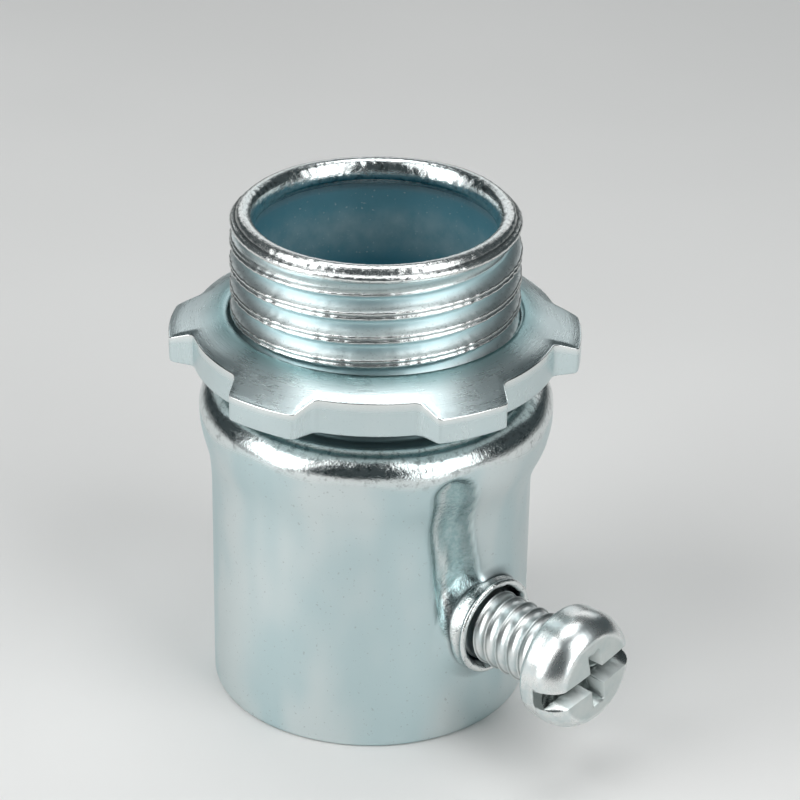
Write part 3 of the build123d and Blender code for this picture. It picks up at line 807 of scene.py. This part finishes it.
def screw_skin(w, c):
    """Head face, head side, underside and helical shank as one closed surface along +X."""
    skin = Skin()
    along, across, level, recess = head_grid(w)
    low_phi = np.arctan2(across[:, 0], along[:, 0])
    up_phi = np.arctan2(across[:, -1], along[:, -1])
    # one turn of angles, from -pi up the lower edge of the face and back along its upper edge
    phi = np.concatenate([low_phi[:-1], up_phi[:0:-1]])
    phi = np.where(phi >= math.pi - 1e-9, phi - 2 * math.pi, phi)
    order = np.argsort(phi)
    phi = phi[order]
    cos_slot, sin_slot = math.cos(w.slot_turn), math.sin(w.slot_turn)

    def place(u, v, h):
        """From slot coordinates (along the slot, across it, up from the underside) to the frame."""
        u, v, h = np.broadcast_arrays(u, v, h)
        sideways = cos_slot * u - sin_slot * v
        return np.stack([w.under_x + h, sideways, c.axis_z + sin_slot * u + cos_slot * v], axis=-1)

    flat = 1 - smooth(w.face_r - 0.1, w.face_r + 0.1, np.hypot(along, across))
    face = skin.add(place(along, across, level), deep=recess, pressed=flat)
    skin.cover(face[::-1], wrap=False)
    edge = np.concatenate([face[:-1, 0], face[:0:-1, -1]])[order]
    rounding = 0.45
    side_top = w.head_h * SIDE_SHARE
    profile = np.concatenate([
        run((w.head_r, side_top - 0.10), (w.head_r - 0.03, rounding), 6),
        arc(w.head_r - 0.03 - rounding, rounding, rounding, 0, -90, 8),
        run((w.head_r - rounding - 0.4, 0.0), (w.root_r + 0.25, 0.0), 4),
        arc(w.root_r + 0.2, -0.2, 0.2, 90, 180, 4)])
    bruise = 0.012 * waves(43, (2, 9), (0.2, 1.0), phi[None, :], profile[:, 1:])
    bruise = bruise * (profile[:, :1] > w.head_r - 0.5) * smooth(side_top, side_top - 0.5, profile[:, 1:])
    radius = profile[:, :1] - np.abs(bruise)
    side = skin.add(place(radius * np.cos(phi), radius * np.sin(phi), profile[:, 1:]))
    skin.cover(np.concatenate([edge[None], side])[::-1])

    # shank: round-bottomed valleys and thin crests
    tip = w.tip_x - w.under_x
    low, high = tip + 0.35, -0.3
    first_crest = -0.45
    shape = np.array([(0, 1.0), (0.035, 0.97), (0.085, 0.62), (0.16, 0.34), (0.30, 0.10), (w.pitch / 2, 0.0)])
    offsets = np.concatenate([shape[:, 0], -shape[1:-1, 0]])
    heights, turn_rows = helix_rows(low, high, w.pitch, first_crest, offsets, phi)
    phase = (heights - first_crest - w.pitch * (phi[None, :] - phi[0]) / (2 * math.pi)) / w.pitch
    side_phase = (phase - np.round(phase)) * w.pitch
    rise = np.interp(np.abs(side_phase), shape[:, 0], shape[:, 1])
    fade = smooth(low, low + 0.5, heights) * (1 - smooth(high - 0.35, high, heights))
    nick = 0.008 * np.abs(waves(47, (8, 30), (0.2, 1), phi[None, :], heights, 20)) * rise
    radius = w.root_r + (w.crest_r - w.root_r) * rise * fade - nick * fade
    line = (np.abs(side_phase - 0.085) < 0.01) * fade
    shank = skin.add(place(radius * np.cos(phi), radius * np.sin(phi), heights), dark=0.6 * line)
    cover_helix(skin, shank, turn_rows)
    top_ring = skin.add(place(w.root_r * np.cos(phi), w.root_r * np.sin(phi), high)[None])
    foot_ring = skin.add(place(w.root_r * np.cos(phi), w.root_r * np.sin(phi), low)[None])
    skin.cover(np.concatenate([side[-1:], top_ring])[::-1])
    end = np.array([
        (w.root_r, tip + 0.25), (w.root_r - 0.06, tip + 0.1), (w.root_r - 0.25, tip), (1.2, tip), (0.0, tip)])
    cap = skin.add(place(end[:, :1] * np.cos(phi), end[:, :1] * np.sin(phi), end[:, 1:]))
    skin.cover(np.concatenate([foot_ring, cap])[::-1])
    return skin


# --- shader maths --------------------------------------------------------------
class Finish:
    """One material's node tree, with a single method that makes any node."""

    def __init__(self, name):
        self.material = bpy.data.materials.new(name)
        self.material.use_nodes = True
        self.tree = self.material.node_tree
        self.tree.nodes.clear()

    def node(self, kind, settings=(), sockets=()):
        """A node of the given type: settings first, then values or links of its sockets."""
        made = self.tree.nodes.new(kind)
        for key, value in dict(settings).items():
            setattr(made, key, value)
        for key, value in dict(sockets).items():
            if isinstance(value, Wire):
                self.tree.links.new(value.socket, made.inputs[key])
            elif value is not None:
                made.inputs[key].default_value = value
        return made

    def maths(self, operation, *values):
        """The result of one Math node."""
        made = self.node("ShaderNodeMath", {"operation": operation}, enumerate(values))
        return Wire(self, made.outputs[0])

    def mark(self, name):
        """One of the marks that the mesh's points carry."""
        made = self.node("ShaderNodeAttribute", {"attribute_name": name})
        return Wire(self, made.outputs["Fac"])

    def position(self):
        """Object coordinates in millimetres."""
        where = self.node("ShaderNodeTexCoord")
        return self.stretched(Wire(self, where.outputs["Object"]), (1 / MM,) * 3)

    def parts(self, vector):
        """A vector's three numbers."""
        made = self.node("ShaderNodeSeparateXYZ", (), {0: vector})
        return [Wire(self, made.outputs[k]) for k in range(3)]

    def joined(self, x, y, z):
        """A vector from three numbers."""
        made = self.node("ShaderNodeCombineXYZ", (), {0: x, 1: y, 2: z})
        return Wire(self, made.outputs[0])

    def stretched(self, vector, scale):
        """A vector with each of its numbers multiplied by its own scale."""
        made = self.node("ShaderNodeVectorMath", {"operation": "MULTIPLY"}, {0: vector, 1: scale})
        return Wire(self, made.outputs[0])

    def noise(self, vector, scale, detail=3.0, roughness=0.55):
        """Cloudy noise from 0 to 1; scale is in cells per millimetre."""
        made = self.node("ShaderNodeTexNoise", (), {
            "Vector": vector, "Scale": scale, "Detail": detail, "Roughness": roughness})
        return Wire(self, made.outputs[0])

    def step(self, value, low, high):
        """0 up to low and 1 from high on, smooth between them."""
        made = self.node("ShaderNodeMapRange", {"interpolation_type": "SMOOTHSTEP"}, {
            "Value": value, "From Min": low, "From Max": high, "To Min": 0.0, "To Max": 1.0})
        return Wire(self, made.outputs[0])

    def mix(self, share, first, second):
        """A colour between two colours."""
        made = self.node("ShaderNodeMix", {"data_type": "RGBA"}, {0: share, 6: tint(first), 7: tint(second)})
        return Wire(self, made.outputs[2])

    def bump(self, height, strength, distance, over=None):
        """A normal with fine relief, over another bump's normal if one is given."""
        made = self.node("ShaderNodeBump", (), {
            "Height": height, "Strength": strength, "Distance": distance * MM, "Normal": over})
        return Wire(self, made.outputs[0])

    def metal(self, base, roughness, normal, metallic=1.0):
        """The shader and the output; returns the finished material."""
        shader = self.node("ShaderNodeBsdfPrincipled", (), {
            "Base Color": base, "Roughness": roughness, "Normal": normal, "Metallic": metallic})
        self.node("ShaderNodeOutputMaterial", (), {0: Wire(self, shader.outputs[0])})
        return self.material


class Wire:
    """A socket that adds Math nodes when it is used in an expression."""

    def __init__(self, finish, socket):
        self.finish = finish
        self.socket = socket

    def __add__(self, other):
        return self.finish.maths("ADD", self, other)

    def __sub__(self, other):
        return self.finish.maths("SUBTRACT", self, other)

    def __rsub__(self, other):
        return self.finish.maths("SUBTRACT", other, self)

    def __mul__(self, other):
        return self.finish.maths("MULTIPLY", self, other)

    def __pow__(self, other):
        return self.finish.maths("POWER", self, other)

    __radd__ = __add__
    __rmul__ = __mul__


def tint(value):
    """A colour with its alpha, or a wire as it is."""
    return value if isinstance(value, Wire) else (*value, 1.0)


def body_steel(colours):
    """Clear zinc on the shell: satin barrel, polished roll, worn bright crests, and teal flanks and a dark
    inside painted for their bounced light and shade.
    """
    f = Finish("body_steel")
    p = f.position()
    z = f.parts(p)[2]
    rubbed, deep, roll, channel, dark, inside = (f.mark(name) for name in Skin.MARKS)
    # painted light: a pale band inside the nipple where light from above falls on it
    painted_light_band = f.step(z, 29.0, 32.0) * (1 - f.step(z, 32.5, 35.5))

    broad = f.noise(f.stretched(p, (1.0, 1.0, 0.45)), 0.16, 2.0)
    cloud = f.noise(p, 0.55, 4.0)
    grain = f.noise(p, 9.0, 3.0)
    speck = f.step(f.noise(p, 4.2, 1.0), 0.70, 0.75)
    pits = f.step(f.noise(p, 5.0, 3.0, 0.7), 0.56, 0.66)

    base = f.mix(f.step(broad, 0.35, 0.65), colours.plate, colours.plate_cool)
    base = f.mix(speck * 0.35, base, colours.speck)
    # painted teal of light bounced between the crests and in the gap under the locknut
    base = f.mix(deep, base, colours.bounce_teal)
    mottle = f.step(f.noise(p, 2.6, 5.0, 0.7), 0.40, 0.60)
    # painted shade: the pressed channel's darker teal, for the light bounced between its walls
    base = f.mix(channel * (0.65 + mottle * 0.35), base, colours.pressed)
    base = f.mix(roll * 0.6, base, colours.bright)
    # painted reflection: dark patches on the polished roll for the dark surroundings it mirrors
    dark_reflection = f.step(f.noise(p, 1.9, 6.0, 0.75), 0.50, 0.62)
    base = f.mix(roll * (1 - rubbed) * dark_reflection * 0.45, base, colours.shade_and_dirt)
    # worn bright crests and edges, and the painted highlight streak along the channel
    base = f.mix(rubbed, base, colours.bright)
    base = f.mix(rubbed * pits * 0.75, base, colours.pit)
    # inside: painted dark teal for its shade, lifted to paler teal in the painted light band and at specks
    painted_inside = f.mix(painted_light_band * f.noise(p, 0.6, 3.0) * 1.1 + speck * 0.8, colours.inside, colours.bounce_teal)
    base = f.mix(inside, base, painted_inside)
    # painted shade under the locknut, on the channel's wall, at the collar's foot, in the lip's crease and
    # down the screw hole; darker seams and torn edges
    base = f.mix(dark, base, colours.shade_and_dirt)

    rough = 0.33 + cloud * 0.10 + grain * 0.06
    rough = rough * (1 - roll * 0.70) * (1 + deep * 0.25) * (1 - rubbed * 0.45)
    rough = rough * (1 + inside * 0.2) * (1 - channel * 0.42)
    height = grain * 0.35 + cloud * 0.8 + speck * -0.25
    fine_relief = f.bump(height * (1 - roll * 0.3), 0.28, 0.035)
    coarse = f.noise(p, 3.4, 4.0, 0.68)
    height = coarse * (roll * 0.42 + rubbed * 0.5 + channel * 0.9) + grain * roll * 0.12
    relief = f.bump(height, 0.6, 0.10, over=fine_relief)
    return f.metal(base, rough, relief, metallic=1 - inside * 0.4)


def nut_steel(colours, n):
    """Clear zinc on the stamping: satin top with fine curved scratches, smooth pale sides."""
    f = Finish("locknut_steel")
    p = f.position()
    x, y, _ = f.parts(p)
    radius = (x * x + y * y) ** 0.5
    cloud = f.noise(p, 0.5, 3.0)
    round_way = f.joined(x * (radius ** -1) * 5, y * (radius ** -1) * 5, radius * 7)
    scratch = f.noise(round_way, 1.3, 5.0, 0.7)
    grain = f.noise(p, 8.0, 3.0)
    hole = 1 - f.step(radius, n.bore_r + 0.1, n.bore_r + 0.45)
    base = f.mix(0.3 + 0.4 * cloud, colours.plate, colours.plate_cool)
    # painted reflection of the nipple: deeper teal on the top round the hole
    near = 1 - f.step(radius, n.bore_r + 0.2, n.bore_r + 2.4)
    base = f.mix(near * 0.9, base, colours.shade)
    # painted teal of bounced light in the nut's bore and its lead-in
    base = f.mix(hole * 0.7, base, colours.bounce_teal)
    base = f.mix(f.step(grain, 0.60, 0.72) * 0.18, base, colours.nut_speck)
    rubbed = f.mark("rubbed")
    base = f.mix(rubbed * 0.9, base, colours.bright)
    rough = (0.21 + cloud * 0.06 + scratch * 0.08) * (1 - rubbed * 0.45)
    top = f.mark("pressed")
    # the relief on the top is taken from its middle level, so that it has no step where the mark ends
    height = scratch * 0.2 + grain * 0.15 + top * ((scratch - 0.5) * 0.6 + (grain - 0.5) * 0.25)
    return f.metal(base, rough, f.bump(height, 0.5, 0.05))


def screw_steel(colours, w):
    """Bright zinc on the screw, with faint turning marks, darker pits and painted shade in the slot."""
    f = Finish("screw_steel")
    p = f.position()
    deep, flat, dark = (f.mark(name) for name in ("deep", "pressed", "dark"))
    x = f.parts(p)[0]
    cloud = f.noise(p, 0.9, 3.0)
    grain = f.noise(p, 7.0, 4.0)
    lines = f.noise(f.stretched(p, (6.0, 0.35, 0.35)), 2.0, 3.0)
    pits = f.step(grain, 0.66, 0.74)
    base = f.mix(f.step(cloud, 0.35, 0.7), colours.bright, colours.plate)
    base = f.mix(pits * 0.4, base, colours.screw_pit)
    base = f.mix(flat * 0.6, base, colours.screw_face)
    # painted shade in the slot and the cross recess
    base = f.mix(deep * 0.9, base, colours.slot)
    base = f.mix(dark, base, colours.shade_and_dirt)
    head = f.step(x, w.under_x - 0.3, w.under_x)
    rough = 0.28 + cloud * 0.10 + lines * 0.06 - head * 0.08 - deep * 0.04 + flat * 0.08
    dents = f.noise(p, 1.6, 4.0, 0.65)
    return f.metal(base, rough, f.bump(grain * 0.3 + lines * 0.2 + dents * (head * 0.5 + deep), 0.30, 0.05))


def floor_paper(colours):
    """Matt pale paper with a very faint tone."""
    f = Finish("floor_paper")
    where = f.position()
    tone = f.noise(where, 0.02, 2.0)
    base = f.mix(f.step(tone, 0.3, 0.7), colours.floor, [v * 0.97 for v in colours.floor])
    return f.metal(base, 0.85, f.bump(f.noise(where, 1.5, 2.0), 0.05, 0.05), metallic=0.0)


# --- operators -----------------------------------------------------------------
class CONNECTOR_OT_body(bpy.types.Operator):
    """Builds the shell: barrel, shoulder, threaded nipple, collar and channel"""
    bl_idname = "connector.body"
    bl_label = "Body"

    def execute(self, context):
        scene = context.scene
        s, c = sizes(scene.connector_body), sizes(scene.connector_collar)
        shell = body_skin(s, c).piece("body_shell", "body", "body", "body_steel")
        shell.data.materials.append(body_steel(scene.connector_colours))
        return {"FINISHED"}


class CONNECTOR_OT_locknut(bpy.types.Operator):
    """Builds the dished locknut with its lugs"""
    bl_idname = "connector.locknut"
    bl_label = "Locknut"

    def execute(self, context):
        scene = context.scene
        n = sizes(scene.connector_nut)
        nut = nut_skin(n).piece("locknut_stamping", "locknut", "locknut", "locknut_steel")
        nut.data.materials.append(nut_steel(scene.connector_colours, n))
        return {"FINISHED"}


class CONNECTOR_OT_set_screw(bpy.types.Operator):
    """Builds the set screw with its slotted head and threaded shank"""
    bl_idname = "connector.set_screw"
    bl_label = "Set screw"

    def execute(self, context):
        scene = context.scene
        w, c = sizes(scene.connector_screw), sizes(scene.connector_collar)
        screw = screw_skin(w, c).piece("set_screw_bright", "set_screw", "set_screw", "screw_steel")
        screw.data.materials.append(screw_steel(scene.connector_colours, w))
        return {"FINISHED"}


class CONNECTOR_OT_stage(bpy.types.Operator):
    """Lays the pale floor, hangs the soft lights and sets the camera"""
    bl_idname = "connector.stage"
    bl_label = "Stage"

    def execute(self, context):
        scene = context.scene
        middle = Vector((0, 0, BODY_HIGH[2] / 2 * MM))
        half = 1.5
        corners = [(-half, -half, 0), (half, -half, 0), (half, half, 0), (-half, half, 0)]
        mesh = bpy.data.meshes.new("floor")
        mesh.from_pydata(corners, [], [(0, 1, 2, 3)])
        floor = bpy.data.objects.new("floor", mesh)
        scene.collection.objects.link(floor)
        mesh.materials.append(floor_paper(scene.connector_colours))
        lamps = (
            # name, bearing from the camera, elevation, distance, width, height, power
            ("window_left", -66, 34, 0.30, 0.20, 0.32, 0.60),
            ("window_right", 50, 34, 0.30, 0.18, 0.32, 0.50),
            ("strip_left", -60, 6, 0.30, 0.05, 0.09, 0.07),
            ("strip_right", 34, 6, 0.30, 0.05, 0.09, 0.05),
            ("overhead", 180, 84, 0.34, 0.20, 0.18, 0.36),
            ("back", 180, 26, 0.50, 0.60, 0.22, 0.40),
        )
        for name, azimuth, elevation, distance, width, height, power in lamps:
            lamp = bpy.data.lights.new(name, "AREA")
            lamp.shape = "RECTANGLE"
            lamp.size, lamp.size_y, lamp.energy = width, height, power
            thing = bpy.data.objects.new(name, lamp)
            away = bearing(CAMERA_AZIMUTH + azimuth, elevation)
            thing.location = middle + away * distance
            thing.rotation_mode = "QUATERNION"
            thing.rotation_quaternion = away.to_track_quat("Z", "Y")
            scene.collection.objects.link(thing)
        world = bpy.data.worlds.new("studio")
        world.use_nodes = True
        room_light = world.node_tree.nodes["Background"]
        room_light.inputs["Color"].default_value = tint(scene.connector_colours.room)
        room_light.inputs["Strength"].default_value = 0.12
        scene.world = world
        scene.view_settings.view_transform = "Standard"

        camera = bpy.data.cameras.new("camera")
        camera.sensor_width = 36.0
        camera.lens = 132.8
        camera.shift_x, camera.shift_y = 0.0355, 0.0551
        camera.clip_start, camera.clip_end = 0.001, 10.0
        view = bpy.data.objects.new("camera", camera)
        away = bearing(CAMERA_AZIMUTH, CAMERA_ELEVATION)
        view.location = Vector((0, 0, AIM_HEIGHT * MM)) + away * CAMERA_DISTANCE * MM
        view.rotation_mode = "QUATERNION"
        roll = Quaternion((0, 0, 1), math.radians(CAMERA_ROLL))
        view.rotation_quaternion = (-away).to_track_quat("-Z", "Y") @ roll
        scene.collection.objects.link(view)
        scene.camera = view
        return {"FINISHED"}


class CONNECTOR_PT_panel(bpy.types.Panel):
    """Lists the pieces in the 3D view's sidebar"""
    bl_idname = "CONNECTOR_PT_panel"
    bl_label = "Conduit connector"
    bl_space_type = "VIEW_3D"
    bl_region_type = "UI"
    bl_category = "Connector"

    def draw(self, context):
        for operator in OPERATORS:
            self.layout.operator(operator.bl_idname)


GROUPS = {
    "connector_body": BodySizes,
    "connector_collar": CollarSizes,
    "connector_nut": NutSizes,
    "connector_screw": ScrewSizes,
    "connector_colours": FinishColours,
}
OPERATORS = (CONNECTOR_OT_body, CONNECTOR_OT_locknut, CONNECTOR_OT_set_screw, CONNECTOR_OT_stage)


def register():
    for group in (*GROUPS.values(), *OPERATORS, CONNECTOR_PT_panel):
        bpy.utils.register_class(group)
    for name, group in GROUPS.items():
        setattr(bpy.types.Scene, name, PointerProperty(type=group))


def unregister():
    for name in GROUPS:
        delattr(bpy.types.Scene, name)
    for group in reversed((*GROUPS.values(), *OPERATORS, CONNECTOR_PT_panel)):
        bpy.utils.unregister_class(group)


def main():
    register()
    bpy.ops.connector.body()
    bpy.ops.connector.locknut()
    bpy.ops.connector.set_screw()
    bpy.ops.connector.stage()


if __name__ == "__main__":
    main()
